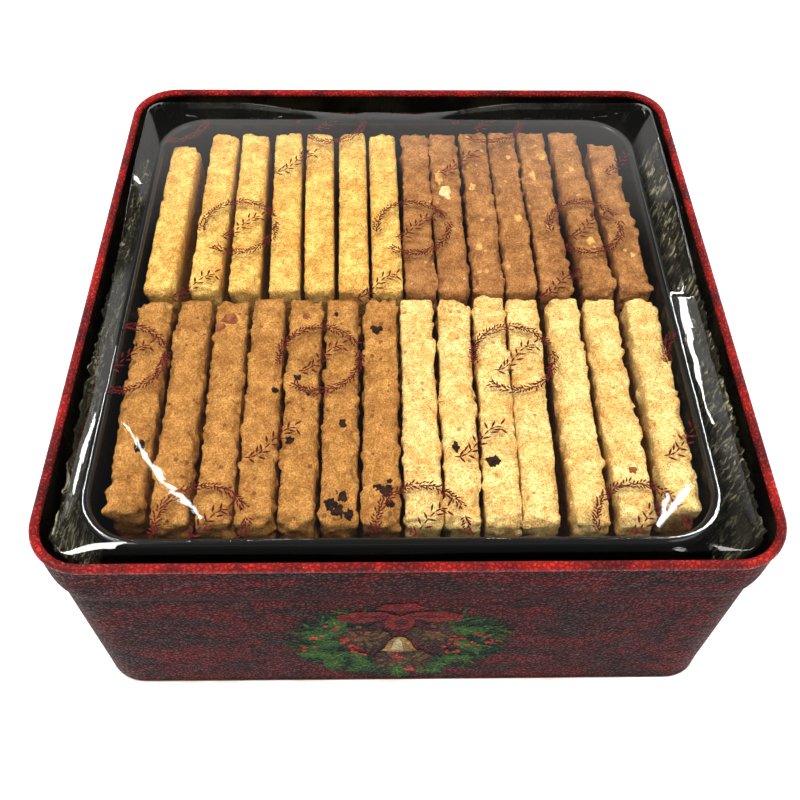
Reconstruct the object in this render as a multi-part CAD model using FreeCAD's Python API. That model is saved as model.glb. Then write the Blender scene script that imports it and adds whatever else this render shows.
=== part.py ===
import FreeCAD, Part
import math
import os

# Square gift tin without its lid, holding one clear-wrapped tray of cookie slices.
# Millimetres. +Z is up, +X is right and -Y is the printed front. The origin is the
# centre of the base, on the plane that the double seam stands on.

os.makedirs("parts", exist_ok=True)

# Tin, over its curled rim.
WIDTH = 190.0
DEPTH = 190.0
HEIGHT = 83.4
RIM_CORNER_RADIUS = 14.5
SHEET = 0.35
CURL_DIAMETER = 2.5
NECK_INSET = 0.4
BODY_INSET = 1.7
CREASE_DROP = 21.1
SHOULDER_RISE = 8.0

# Base panel, seamed round the foot of the wall.
SEAM_HEIGHT = 2.6
SEAM_FIT = 0.05
BASE_SHEET = 0.3
PANEL_TOP = 2.6
PANEL_MARGIN = 5.0
PANEL_STEP = 0.8
PANEL_STEP_RUN = 1.5

# Free space from the curl's inner edge to the tray's rim, on each side.
GAP_LEFT = 7.0
GAP_RIGHT = 10.5
GAP_FRONT = 5.8
GAP_BACK = 9.5

# Thermoformed tray.
TRAY_SHEET = 0.5
TRAY_CORNER_RADIUS = 17.0
TRAY_ROLL_WIDTH = 2.8
TRAY_ROLL_DROP = 3.0
TRAY_DRAFT_INSET = 1.2
TRAY_BELOW_RIM = 3.8
RIB_HEIGHT = 6.0
RIB_WIDTH = 10.0
RIB_END_MARGIN = 5.0
RIBS_PER_ROW = 2

# Clear film round the tray.
FILM = 0.3
FILM_FIT = 0.2
FIN_SEAL_WIDTH = 10.0
FIN_SEAL_END_MARGIN = 12.0
CRIMP_THICKNESS = 0.5
CRIMP_ROOT_DROP = 32.0
CRIMP_END_MARGIN = 8.0
CRIMP_CLEARANCE = 1.5
CRIMP_TOP_DROP = 1.5
TOOTH_PITCH = 4.0
TOOTH_HEIGHT = 1.5

# Cookie slices: two rows across the tray, two kinds in each row.
SLICES_PER_ROW = 14
SLICE_GAP = 1.8
SLICE_BELOW_RIM = 3.1
SLICE_CORNER_RADIUS = 5.0
SLICE_EDGE_RADIUS = 1.5
SLICE_SEAT = 0.1
ROW_GAP_BACK = 0.6
ROW_GAP_MIDDLE = 2.6
ROW_GAP_FRONT = 3.6
ROW_END_GAP = 1.5
CORNER_CLEARANCE = 0.4
TRIM = {"plain": 1.5, "chocolate": 0.4, "chip": 0.8, "light": 0.0}

# How the free width of each row falls between the slices, from left to right:
# one more gap than slices, first at the row's far end, then at its near end.
BACK_ROW_FAR = (0.5, 4.4, 1.6, 2.8, 1.9, 2.6, 1.5, 2.5, 0.6, 2.1, 1.0, 1.1, 2.6, 4.0, 2.4)
BACK_ROW_NEAR = (0.4, 5.6, 3.6, 3.9, 1.7, 1.7, 1.4, 1.0, 1.0, 1.9, 1.0, 2.4, 5.0, 1.9, 0.5)
FRONT_ROW_FAR = (0.4, 4.0, 2.6, 2.3, 3.0, 2.3, 3.0, 2.0, 2.9, 2.1, 1.2, 3.7, 2.8, 5.2, 0.3)
FRONT_ROW_NEAR = (3.0, 3.3, 3.2, 1.8, 1.4, 2.1, 2.3, 2.5, 0.8, 1.9, 0.5, 5.4, 3.1, 4.6, 0.9)

# Worked out from the sizes above.
body_outer = RIM_CORNER_RADIUS - BODY_INSET
body_inner = body_outer - SHEET
crease_z = HEIGHT - CREASE_DROP
floor_z = PANEL_TOP + PANEL_STEP
mouth_x = WIDTH / 2 - CURL_DIAMETER
mouth_y = DEPTH / 2 - CURL_DIAMETER

tray_left = -mouth_x + GAP_LEFT
tray_right = mouth_x - GAP_RIGHT
tray_front = -mouth_y + GAP_FRONT
tray_back = mouth_y - GAP_BACK
tray_centre = ((tray_left + tray_right) / 2, (tray_front + tray_back) / 2)
tray_width = tray_right - tray_left
tray_depth = tray_back - tray_front
tray_top = HEIGHT - TRAY_BELOW_RIM
film_bottom = floor_z + SEAM_FIT + FILM
tray_bottom = film_bottom + FILM + SEAM_FIT
rib_top = tray_bottom + TRAY_SHEET + RIB_HEIGHT


def vec(x, y, z):
    return FreeCAD.Vector(x, y, z)


def polygon(points):
    """Face inside a closed polygon of (x, y, z) points."""
    corners = [vec(*point) for point in points]
    return Part.Face(Part.makePolygon(corners + corners[:1]))


def arc(start, middle, end):
    """Arc through three (x, z) points in the XZ plane."""
    return Part.Arc(*[vec(x, 0, z) for x, z in (start, middle, end)]).toShape()


def line(start, end):
    """Straight edge between two (x, z) points in the XZ plane."""
    return Part.makeLine(vec(start[0], 0, start[1]), vec(end[0], 0, end[1]))


def on_circle(centre, radius, degrees):
    """Point of a circle in the XZ plane, as (x, z)."""
    angle = math.radians(degrees)
    return (centre[0] + radius * math.cos(angle), centre[1] + radius * math.sin(angle))


def carry_round(profile, width, depth, radius, centre=(0.0, 0.0)):
    """Carry an XZ profile round a rounded rectangle. The profile's x is measured outward
    from the axis of the corner bends, so x = radius lies on the rectangle itself."""
    half_x = width / 2 - radius
    half_y = depth / 2 - radius
    corners = [(half_x, half_y), (-half_x, half_y), (-half_x, -half_y), (half_x, -half_y)]
    pieces = []
    for turn, (x, y) in enumerate(corners):
        next_x, next_y = corners[(turn + 1) % 4]
        start = profile.copy()
        start.rotate(vec(0, 0, 0), vec(0, 0, 1), 90 * turn)
        start.translate(vec(x, y, 0))
        pieces.append(start.revolve(vec(x, y, 0), vec(0, 0, 1), 90))
        end = profile.copy()
        end.rotate(vec(0, 0, 0), vec(0, 0, 1), 90 * (turn + 1))
        end.translate(vec(x, y, 0))
        pieces.append(end.extrude(vec(next_x - x, next_y - y, 0)))
    ring = pieces[0].multiFuse(pieces[1:]).removeSplitter()
    ring.translate(vec(centre[0], centre[1], 0))
    return ring


def outline(width, depth, radius, z, centre=(0.0, 0.0)):
    """Closed wire of a rounded rectangle at height z."""
    half_x = width / 2
    half_y = depth / 2
    slant = radius * (1 - math.sqrt(0.5))
    edges = []
    for turn in range(4):
        long_side, short_side = (half_x, half_y) if turn % 2 == 0 else (half_y, half_x)
        begin = (long_side, short_side - radius)
        middle = (long_side - slant, short_side - slant)
        end = (long_side - radius, short_side)
        after = (radius - long_side, short_side)
        bend = Part.Arc(vec(*begin, z), vec(*middle, z), vec(*end, z)).toShape()
        side = Part.makeLine(vec(*end, z), vec(*after, z))
        edges.append(turned_edge(bend, turn))
        edges.append(turned_edge(side, turn))
    wire = Part.Wire(edges)
    wire.translate(vec(centre[0], centre[1], 0))
    return wire


def turned_edge(edge, turn):
    edge.rotate(vec(0, 0, 0), vec(0, 0, 1), 90 * turn)
    return edge


def plate(width, depth, radius, z, thickness, centre=(0.0, 0.0)):
    """Rounded rectangular plate that stands on z."""
    return Part.Face(outline(width, depth, radius, z, centre)).extrude(vec(0, 0, thickness))


def tin_body():
    """Wall of the tin: straight lower wall, rounded shoulder, neck and inward-curled rim."""
    neck_outer = RIM_CORNER_RADIUS - NECK_INSET
    neck_inner = neck_outer - SHEET
    bulge = neck_outer - body_outer
    sweep = (bulge**2 + SHOULDER_RISE**2) / (2 * bulge)
    shoulder = (neck_outer - sweep, crease_z + SHOULDER_RISE)
    slope = math.degrees(math.asin(SHOULDER_RISE / sweep))
    inner_slope = math.degrees(math.acos((body_inner - shoulder[0]) / (sweep - SHEET)))
    inner_crease = on_circle(shoulder, sweep - SHEET, -inner_slope)

    curl_outer = CURL_DIAMETER / 2
    curl_inner = curl_outer - SHEET
    curl = (RIM_CORNER_RADIUS - curl_outer, HEIGHT - curl_outer)
    outer_start = -math.degrees(math.acos((neck_outer - curl[0]) / curl_outer))
    inner_start = -math.degrees(math.acos((neck_inner - curl[0]) / curl_inner))
    free_edge = 262.0
    foot = BASE_SHEET + SEAM_FIT
    wall = [
        line((body_inner, foot), (body_outer, foot)),
        line((body_outer, foot), (body_outer, crease_z)),
        arc((body_outer, crease_z), on_circle(shoulder, sweep, -slope / 2), (neck_outer, shoulder[1])),
        line((neck_outer, shoulder[1]), on_circle(curl, curl_outer, outer_start)),
        arc(
            on_circle(curl, curl_outer, outer_start),
            on_circle(curl, curl_outer, 90),
            on_circle(curl, curl_outer, free_edge),
        ),
        line(on_circle(curl, curl_outer, free_edge), on_circle(curl, curl_inner, free_edge)),
        arc(
            on_circle(curl, curl_inner, free_edge),
            on_circle(curl, curl_inner, 90),
            on_circle(curl, curl_inner, inner_start),
        ),
        line(on_circle(curl, curl_inner, inner_start), (neck_inner, shoulder[1])),
        arc((neck_inner, shoulder[1]), on_circle(shoulder, sweep - SHEET, -inner_slope / 2), inner_crease),
        line(inner_crease, (body_inner, foot)),
    ]
    profile = Part.Face(Part.Wire(wall))
    return carry_round(profile, WIDTH, DEPTH, RIM_CORNER_RADIUS)


def tin_bottom():
    """Base panel: a seam channel that folds round the wall's foot, and a stepped-up panel."""
    leg_outer = body_outer + SEAM_FIT + BASE_SHEET
    channel_outer = body_outer + SEAM_FIT
    channel_inner = body_inner - SEAM_FIT
    leg_inner = channel_inner - BASE_SHEET
    step_out = leg_inner - PANEL_MARGIN
    step_in = step_out - PANEL_STEP_RUN
    low = PANEL_TOP - BASE_SHEET
    profile = polygon(
        [
            (leg_outer, 0, 0),
            (leg_outer, 0, SEAM_HEIGHT),
            (channel_outer, 0, SEAM_HEIGHT),
            (channel_outer, 0, BASE_SHEET),
            (channel_inner, 0, BASE_SHEET),
            (channel_inner, 0, PANEL_TOP),
            (step_out, 0, PANEL_TOP),
            (step_in, 0, floor_z),
            (step_in, 0, floor_z - BASE_SHEET),
            (step_out, 0, low),
            (leg_inner, 0, low),
            (leg_inner, 0, 0),
        ]
    )
    ring = carry_round(profile, WIDTH, DEPTH, RIM_CORNER_RADIUS)
    inset = RIM_CORNER_RADIUS - step_in
    panel = plate(WIDTH - 2 * inset, DEPTH - 2 * inset, step_in, floor_z - BASE_SHEET, BASE_SHEET)
    return ring.fuse(panel).removeSplitter()


def row_spans():
    """Front and back limits of the two rows of slices, as ((front, back), (front, back))."""
    front = tray_front + TRAY_ROLL_WIDTH + TRAY_DRAFT_INSET + ROW_GAP_FRONT
    back = tray_back - TRAY_ROLL_WIDTH - TRAY_DRAFT_INSET - ROW_GAP_BACK
    length = (back - front - ROW_GAP_MIDDLE) / 2
    return ((front, front + length), (back - length, back))


def tray():
    """Thermoformed tray: rolled rim, drafted wall, flat floor and hollow ribs under the slices."""
    roll_outer = TRAY_ROLL_WIDTH / 2
    roll_inner = roll_outer - TRAY_SHEET
    roll = (TRAY_CORNER_RADIUS - roll_outer, tray_top - roll_outer)
    wall_inner = TRAY_CORNER_RADIUS - TRAY_ROLL_WIDTH
    foot_inner = wall_inner - TRAY_DRAFT_INSET
    skirt = tray_top - TRAY_ROLL_DROP
    floor_top = tray_bottom + TRAY_SHEET
    section = [
        line((foot_inner, floor_top), (wall_inner, roll[1])),
        arc((wall_inner, roll[1]), (roll[0], tray_top), (TRAY_CORNER_RADIUS, roll[1])),
        line((TRAY_CORNER_RADIUS, roll[1]), (TRAY_CORNER_RADIUS, skirt)),
        line((TRAY_CORNER_RADIUS, skirt), (TRAY_CORNER_RADIUS - TRAY_SHEET, skirt)),
        line((TRAY_CORNER_RADIUS - TRAY_SHEET, skirt), (roll[0] + roll_inner, roll[1])),
        arc(
            (roll[0] + roll_inner, roll[1]),
            (roll[0], roll[1] + roll_inner),
            (roll[0] - roll_inner, roll[1]),
        ),
        line((roll[0] - roll_inner, roll[1]), (foot_inner + TRAY_SHEET, tray_bottom)),
        line((foot_inner + TRAY_SHEET, tray_bottom), (foot_inner, tray_bottom)),
        line((foot_inner, tray_bottom), (foot_inner, floor_top)),
    ]
    profile = Part.Face(Part.Wire(section))
    wall = carry_round(profile, tray_width, tray_depth, TRAY_CORNER_RADIUS, tray_centre)
    inset = 2 * (TRAY_CORNER_RADIUS - foot_inner)
    floor_width = tray_width - inset
    floor = plate(floor_width, tray_depth - inset, foot_inner, tray_bottom, TRAY_SHEET, tray_centre)
    shell = wall.fuse(floor)

    rib_length = floor_width - 2 * RIB_END_MARGIN
    left = tray_centre[0] - rib_length / 2
    ribs = []
    hollows = []
    for front, back in row_spans():
        for index in range(RIBS_PER_ROW):
            y = front + (back - front) * (index + 0.5) / RIBS_PER_ROW - RIB_WIDTH / 2
            corner = vec(left, y, tray_bottom)
            ribs.append(Part.makeBox(rib_length, RIB_WIDTH, rib_top - tray_bottom, corner))
            hollows.append(
                Part.makeBox(
                    rib_length - 2 * TRAY_SHEET,
                    RIB_WIDTH - 2 * TRAY_SHEET,
                    rib_top - tray_bottom - TRAY_SHEET,
                    vec(left + TRAY_SHEET, y + TRAY_SHEET, tray_bottom),
                )
            )
    return shell.multiFuse(ribs).cut(Part.makeCompound(hollows)).removeSplitter()


def taut_block(grow):
    """Solid of the wrapped pack, grown all round: straight sides from the tray's foot up to the
    skirt of its rolled rim, then upright sides and a flat top."""
    foot_inset = TRAY_ROLL_WIDTH - TRAY_SHEET + TRAY_DRAFT_INSET
    bottom = outline(
        tray_width - 2 * foot_inset + 2 * grow,
        tray_depth - 2 * foot_inset + 2 * grow,
        TRAY_CORNER_RADIUS - foot_inset + grow,
        tray_bottom - SEAM_FIT - grow + FILM_FIT,
        tray_centre,
    )
    sections = [bottom]
    for z in (tray_top - TRAY_ROLL_DROP, tray_top + grow):
        sections.append(
            outline(
                tray_width + 2 * grow,
                tray_depth + 2 * grow,
                TRAY_CORNER_RADIUS + grow,
                z,
                tray_centre,
            )
        )
    return Part.makeLoft(sections, True, True)


def crimp(side):
    """End seal of the film: a web out of the end panel, folded up into a flat toothed fin."""
    rim = tray_right if side > 0 else -tray_left
    root_z = tray_top - CRIMP_ROOT_DROP
    tip_z = tray_top - CRIMP_TOP_DROP
    wall_x = rim - (TRAY_ROLL_WIDTH - TRAY_SHEET + TRAY_DRAFT_INSET) + FILM_FIT
    fold_x = rim + FILM_FIT + FILM + CRIMP_THICKNESS
    tip_x = mouth_x - CRIMP_CLEARANCE - CRIMP_THICKNESS
    lean = math.atan2(tip_x - fold_x, tip_z - root_z)
    height = (tip_z - root_z) / math.cos(lean)
    front = tray_front + CRIMP_END_MARGIN
    length = tray_depth - 2 * CRIMP_END_MARGIN

    teeth = int(length // TOOTH_PITCH)
    points = [(0, 0, 0)]
    for tooth in range(teeth):
        points.append((0, tooth * length / teeth, height - TOOTH_HEIGHT))
        points.append((0, (tooth + 0.5) * length / teeth, height))
    points.append((0, length, height - TOOTH_HEIGHT))
    points.append((0, length, 0))
    fin = polygon(points).extrude(vec(CRIMP_THICKNESS, 0, 0))
    fin.rotate(vec(0, 0, 0), vec(0, 1, 0), math.degrees(lean))
    fin.translate(vec(fold_x, front, root_z))
    web_width = fold_x + CRIMP_THICKNESS - wall_x
    web = Part.makeBox(web_width, length, CRIMP_THICKNESS, vec(wall_x, front, root_z))
    folded = web.fuse(fin)
    if side < 0:
        folded = folded.mirror(vec(0, 0, 0), vec(1, 0, 0))
    return folded


def film_wrap():
    """One-piece clear film: a taut closed bag, a flat lengthwise seal below and two end crimps."""
    cavity = taut_block(FILM_FIT)
    seal_length = tray_width - 2 * FIN_SEAL_END_MARGIN
    seal = Part.makeBox(
        seal_length,
        FIN_SEAL_WIDTH,
        2 * FILM,
        vec(tray_centre[0] - seal_length / 2, tray_centre[1] - FIN_SEAL_WIDTH / 2, film_bottom - FILM),
    )
    bag = taut_block(FILM_FIT + FILM).multiFuse([seal, crimp(1), crimp(-1)])
    return bag.cut(cavity).removeSplitter()


def row_places(left, right, thickness, gaps):
    """Centres of the slices of one row between two limits, its free width shared as gaps say."""
    spare = (right - left - SLICES_PER_ROW * thickness) / sum(gaps)
    places = []
    edge = left
    for gap in gaps[:-1]:
        edge += gap * spare
        places.append(edge + thickness / 2)
        edge += thickness
    return places


def slice_solid(thickness, length, height):
    """Slice standing on edge, centred on the origin at its foot."""
    face = Part.Face(outline(height, length, SLICE_CORNER_RADIUS, 0))
    slab = face.extrude(vec(0, 0, thickness))
    slab.rotate(vec(0, 0, 0), vec(0, 1, 0), -90)
    slab.translate(vec(thickness / 2, 0, height / 2))
    rims = [edge for edge in slab.Edges if abs(abs(edge.CenterOfMass.x) - thickness / 2) < 0.01]
    return slab.makeFillet(SLICE_EDGE_RADIUS, rims)


def corner_trim(wall_gap):
    """How much shorter the slice at each end of a row is, to clear the tray's round corner."""
    bend = TRAY_CORNER_RADIUS - TRAY_ROLL_WIDTH - TRAY_DRAFT_INSET
    reach = math.sqrt(bend**2 - (bend - ROW_END_GAP) ** 2)
    return max(0.0, bend - reach + CORNER_CLEARANCE - wall_gap)


def cookie_row(span, wall_side, wall_gap, far_gaps, near_gaps, kinds):
    """One row of slices, each leaning with its place in the row and turned a little.
    wall_side is +1 where the row's far end meets the tray's wall, and -1 where its near end does."""
    wall_left = tray_left + TRAY_ROLL_WIDTH + ROW_END_GAP
    wall_right = tray_right - TRAY_ROLL_WIDTH - ROW_END_GAP
    draft = TRAY_DRAFT_INSET
    free = wall_right - wall_left - 2 * draft
    thickness = free / SLICES_PER_ROW - SLICE_GAP
    height = tray_top - SLICE_BELOW_RIM - rib_top - SLICE_SEAT
    foot_far = row_places(wall_left + draft, wall_right - draft, thickness, far_gaps)
    foot_near = row_places(wall_left + draft, wall_right - draft, thickness, near_gaps)
    top_far = row_places(wall_left, wall_right, thickness, far_gaps)
    per_kind = SLICES_PER_ROW // len(kinds)
    row = {}
    for index in range(SLICES_PER_ROW):
        kind = kinds[index // per_kind]
        at_corner = index in (0, SLICES_PER_ROW - 1)
        cut_off = corner_trim(wall_gap) if at_corner else 0.0
        length = span[1] - span[0] - TRIM[kind] - cut_off
        cookie = slice_solid(thickness, length, height)
        lean = math.atan2(top_far[index] - foot_far[index], height)
        turn = math.atan2(foot_near[index] - foot_far[index], length)
        cookie.rotate(vec(0, 0, 0), vec(0, 1, 0), math.degrees(lean))
        cookie.rotate(vec(0, 0, 0), vec(0, 0, 1), math.degrees(turn))
        x = (foot_far[index] + foot_near[index]) / 2
        y = (span[0] + span[1] - wall_side * cut_off) / 2
        cookie.translate(vec(x, y, rib_top + SLICE_SEAT - cookie.BoundBox.ZMin))
        row[f"cookie_{kind}_{index % per_kind + 1}"] = cookie
    return row


nodes = {
    "tin_body": tin_body(),
    "tin_bottom": tin_bottom(),
    "tray": tray(),
    "film_wrap": film_wrap(),
}
front_span, back_span = row_spans()
back_kinds = ("plain", "chocolate")
front_kinds = ("chip", "light")
nodes.update(cookie_row(back_span, 1, ROW_GAP_BACK, BACK_ROW_FAR, BACK_ROW_NEAR, back_kinds))
nodes.update(cookie_row(front_span, -1, ROW_GAP_FRONT, FRONT_ROW_FAR, FRONT_ROW_NEAR, front_kinds))

for name, solid in nodes.items():
    solid.exportStep(f"parts/{name}.step")
    print(name, solid.ShapeType, len(solid.Solids), solid.isValid(), round(solid.Volume, 1))
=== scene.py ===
import math
import random

import bpy
import numpy as np
from mathutils import Matrix, Vector, noise


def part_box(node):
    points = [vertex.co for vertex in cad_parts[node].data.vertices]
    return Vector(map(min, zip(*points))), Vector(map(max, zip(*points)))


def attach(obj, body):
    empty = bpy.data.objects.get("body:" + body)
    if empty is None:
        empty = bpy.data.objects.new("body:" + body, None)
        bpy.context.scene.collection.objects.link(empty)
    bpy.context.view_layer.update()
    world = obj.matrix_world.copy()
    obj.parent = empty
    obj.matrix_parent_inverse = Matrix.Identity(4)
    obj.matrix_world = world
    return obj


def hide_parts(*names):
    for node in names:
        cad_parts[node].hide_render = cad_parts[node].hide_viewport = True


# A square embossed gift tin with no lid, and in it a black tray of cookie slices sealed in printed film.
# Metres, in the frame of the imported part: +Z up, -Y the printed front, the origin under the tin's middle.

MM = 0.001

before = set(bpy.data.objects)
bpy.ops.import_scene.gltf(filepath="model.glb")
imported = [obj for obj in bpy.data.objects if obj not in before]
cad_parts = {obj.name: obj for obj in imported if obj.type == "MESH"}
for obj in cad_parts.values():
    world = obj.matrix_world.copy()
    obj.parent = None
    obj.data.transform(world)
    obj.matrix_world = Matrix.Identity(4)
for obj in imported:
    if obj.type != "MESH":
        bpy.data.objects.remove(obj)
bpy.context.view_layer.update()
tin_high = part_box("tin_body")[1]
base_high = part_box("tin_bottom")[1]
tray_low, tray_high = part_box("tray")
film_low, film_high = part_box("film_wrap")

CURL_HEIGHT = 2.6 * MM  # of the rolled rim
CREASE_DROP = 21.1 * MM  # from the rim to the crease under the shoulder
# The dark stripe above the crease is painted shade, where the shoulder curves under and mirrors little
# light.
SHOULDER_SHADE_HEIGHT = 6.5 * MM  # of the dark stripe above the crease
FOOT_BAND = 5.0 * MM  # top of the red line at the foot
BODY_INSET = 1.7 * MM  # of the wall below the crease, from the box of the tin
TRAY_CORNER = 17.0 * MM  # radius of the tray's corners in plan
ROLL_CREST = 1.4 * MM  # from the tray's edge in to the crest of its rolled rim

rim_z = tin_high.z
crease_z = rim_z - CREASE_DROP
tray_middle = (tray_low + tray_high) / 2
tray_half = (tray_high - tray_low) / 2
film_z = film_high.z


# -------- node helpers


def new_material(name):
    """Material with its Principled shader, as (material, node tree, shader)."""
    material = bpy.data.materials.new(name)
    material.use_nodes = True
    tree = material.node_tree
    return material, tree, tree.nodes["Principled BSDF"]


def feed(tree, node, inputs):
    """inputs maps socket names or numbers to a value, or to a socket that feeds it."""
    for key, value in inputs.items():
        if isinstance(value, bpy.types.NodeSocket):
            tree.links.new(value, node.inputs[key])
        else:
            node.inputs[key].default_value = value


def add(tree, kind, inputs=None, **settings):
    made = tree.nodes.new(kind)
    for key, value in settings.items():
        setattr(made, key, value)
    feed(tree, made, inputs or {})
    return made


def math_node(tree, operation, a, b=0.0):
    return add(tree, "ShaderNodeMath", {0: a, 1: b}, operation=operation).outputs[0]


def times(tree, a, b):
    return math_node(tree, "MULTIPLY", a, b)


def plus(tree, a, b):
    return math_node(tree, "ADD", a, b)


def mix_colour(tree, share, a, b, mode="MIX"):
    """a and b are sockets or (red, green, blue)."""
    made = add(tree, "ShaderNodeMix", data_type="RGBA", blend_type=mode)
    colours = [c if isinstance(c, bpy.types.NodeSocket) else (*c, 1.0) for c in (a, b)]
    feed(tree, made, {0: share, 6: colours[0], 7: colours[1]})
    return made.outputs[2]


def tinted(tree, colour, tint):
    return mix_colour(tree, 1.0, colour, tint, "MULTIPLY")


def ramp(tree, value, low, high):
    """Smooth step of value from low to high."""
    made = add(
        tree,
        "ShaderNodeMapRange",
        {"Value": value, "From Min": low, "From Max": high},
        interpolation_type="SMOOTHSTEP",
    )
    return made.outputs["Result"]


def place(tree):
    """The surface's own coordinates, which stay with the piece when it moves."""
    return add(tree, "ShaderNodeTexCoord").outputs["Object"]


def noise_value(tree, scale, detail=3.0, rough=0.55, distortion=0.0, where=None):
    inputs = {"Scale": scale, "Detail": detail, "Roughness": rough, "Distortion": distortion}
    inputs["Vector"] = where or place(tree)
    return add(tree, "ShaderNodeTexNoise", inputs).outputs["Fac"]


def stretched(tree, scale):
    return add(tree, "ShaderNodeMapping", {"Vector": place(tree), "Scale": scale}).outputs[0]


def height_of(tree):
    return add(tree, "ShaderNodeSeparateXYZ", {0: place(tree)}).outputs[2]


def bump(tree, height, strength, distance):
    inputs = {"Height": height, "Strength": strength, "Distance": distance}
    return add(tree, "ShaderNodeBump", inputs).outputs["Normal"]


def dress(node, *materials):
    """Gives a CAD node its materials."""
    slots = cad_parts[node].data.materials
    slots.clear()
    for material in materials:
        slots.append(material)


# -------- tin materials

CRACKLE_SCALE = 800.0  # cells of the grain in a metre
PLUM = (0.026, 0.010, 0.011)
MAROON = (0.112, 0.009, 0.010)
WORN_PLUM = (0.056, 0.034, 0.035)
# Painted shade: the dark red of the shoulder where it curves under.
SHOULDER_SHADE_RED = (0.045, 0.003, 0.004)
FOOT_RED = (0.09, 0.006, 0.007)


def crackle(tree):
    """Height of the embossed leather-like grain all over the printed tin."""
    where = place(tree)
    bent = add(tree, "ShaderNodeTexNoise", {"Vector": where, "Scale": 420.0, "Detail": 2.0}).outputs["Color"]
    push = add(tree, "ShaderNodeVectorMath", {0: bent, "Scale": 1.5 * MM}, operation="SCALE").outputs[0]
    offset = add(tree, "ShaderNodeVectorMath", {0: where, 1: push}, operation="ADD").outputs[0]
    inputs = {"Vector": offset, "Scale": CRACKLE_SCALE}
    cells = add(tree, "ShaderNodeTexVoronoi", inputs, feature="DISTANCE_TO_EDGE").outputs["Distance"]
    veins = ramp(tree, cells, 0.02, 0.30)
    fine = noise_value(tree, 1500.0, 3.0, 0.6)
    return plus(tree, veins, times(tree, fine, 0.7))


def printed_finish(tree, shader, colour, gloss=0.015, bump_strength=0.8, groove=0.28):
    """The varnished, embossed surface that the tin and its picture share. groove darkens the veins."""
    grain = crackle(tree)
    veins = ramp(tree, grain, 0.40, 1.15)
    dark = tinted(tree, colour, (groove, groove * 0.9, groove * 0.95))
    raised = tinted(tree, colour, (1.25, 1.20, 1.20))
    feed(tree, shader, {
        "Base Color": mix_colour(tree, veins, dark, raised),
        "Normal": bump(tree, grain, bump_strength, 0.40 * MM),
        "Roughness": plus(tree, times(tree, veins, -0.15), 0.52),
        "Specular IOR Level": gloss,
    })


def tin_paint():
    """Mottled maroon print with a red foot line, and painted shade as a dark red stripe where the shoulder
    curves under.
    """
    material, tree, shader = new_material("tin_paint")
    flat = stretched(tree, (1.0, 1.0, 1.9))
    blotch = noise_value(tree, 55.0, 4.0, 0.62, 0.6, where=flat)
    speck = noise_value(tree, 420.0, 2.0, 0.7, where=flat)
    mottle = plus(tree, blotch, times(tree, speck, 0.5))
    body = mix_colour(tree, ramp(tree, mottle, 0.62, 0.92), PLUM, MAROON)
    streak = ramp(tree, noise_value(tree, 150.0, 3.0, 0.6, where=flat), 0.52, 0.66)
    body = mix_colour(tree, times(tree, streak, 0.55), body, WORN_PLUM)

    wobble = times(tree, noise_value(tree, 260.0, 2.0), 1.6 * MM)
    wavy = plus(tree, height_of(tree), wobble)
    # Painted shade: a dark red stripe just above the crease, where the shoulder curves under.
    stripe_top = crease_z + SHOULDER_SHADE_HEIGHT
    over_crease = ramp(tree, wavy, crease_z + 0.2 * MM, crease_z + 1.4 * MM)
    over_stripe = ramp(tree, wavy, stripe_top, stripe_top + 2.5 * MM)
    stripe = times(tree, over_crease, math_node(tree, "SUBTRACT", 1.0, over_stripe))
    body = mix_colour(tree, times(tree, stripe, 0.85), body, SHOULDER_SHADE_RED)
    foot = math_node(tree, "SUBTRACT", 1.0, ramp(tree, wavy, 3.2 * MM, FOOT_BAND))
    body = mix_colour(tree, times(tree, foot, 0.6), body, FOOT_RED)
    printed_finish(tree, shader, body)
    return material


def curl_paint():
    """Bright glossy red of the rolled rim, dulled in patches, with pale specks painted on its grain as
    highlights.
    """
    material, tree, shader = new_material("curl_paint")
    patches = ramp(tree, noise_value(tree, 75.0, 4.0, 0.65), 0.36, 0.66)
    colour = mix_colour(tree, patches, (0.095, 0.006, 0.007), (0.34, 0.013, 0.009))
    # Painted highlight: pale specks on the grain stand in for glints.
    glint_specks = ramp(tree, noise_value(tree, 1300.0, 3.0, 0.7), 0.64, 0.74)
    colour = mix_colour(tree, times(tree, glint_specks, 0.5), colour, (0.75, 0.45, 0.40))
    printed_finish(tree, shader, colour, gloss=0.10, groove=0.55)
    feed(tree, shader, {"Coat Weight": 0.06, "Coat Roughness": 0.12})
    return material


def tin_inside():
    """Dark lacquer inside the tin, with a faint gold-green cast and drawn marks."""
    material, tree, shader = new_material("tin_inside")
    marks = noise_value(tree, 700.0, 3.0, 0.6, where=stretched(tree, (1.0, 1.0, 0.12)))
    cast = ramp(tree, noise_value(tree, 60.0, 3.0), 0.40, 0.70)
    feed(tree, shader, {
        "Base Color": mix_colour(tree, cast, (0.010, 0.009, 0.007), (0.040, 0.035, 0.018)),
        "Roughness": plus(tree, times(tree, marks, 0.18), 0.20),
        "Normal": bump(tree, marks, 0.08, 0.1 * MM),
        "Metallic": 0.6,
    })
    return material


def bare_tinplate():
    """Bright tinplate of the base and its double seam, with fine rolling marks and dull patches."""
    material, tree, shader = new_material("bare_tinplate")
    marks = noise_value(tree, 1400.0, 4.0, 0.6, where=stretched(tree, (0.06, 1.0, 1.0)))
    dull = ramp(tree, noise_value(tree, 70.0, 3.0), 0.40, 0.70)
    feed(tree, shader, {
        "Base Color": mix_colour(tree, dull, (0.66, 0.65, 0.60), (0.50, 0.48, 0.42)),
        "Roughness": plus(tree, times(tree, marks, 0.22), 0.20),
        "Normal": bump(tree, marks, 0.10, 0.05 * MM),
        "Metallic": 1.0,
    })
    return material


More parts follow.
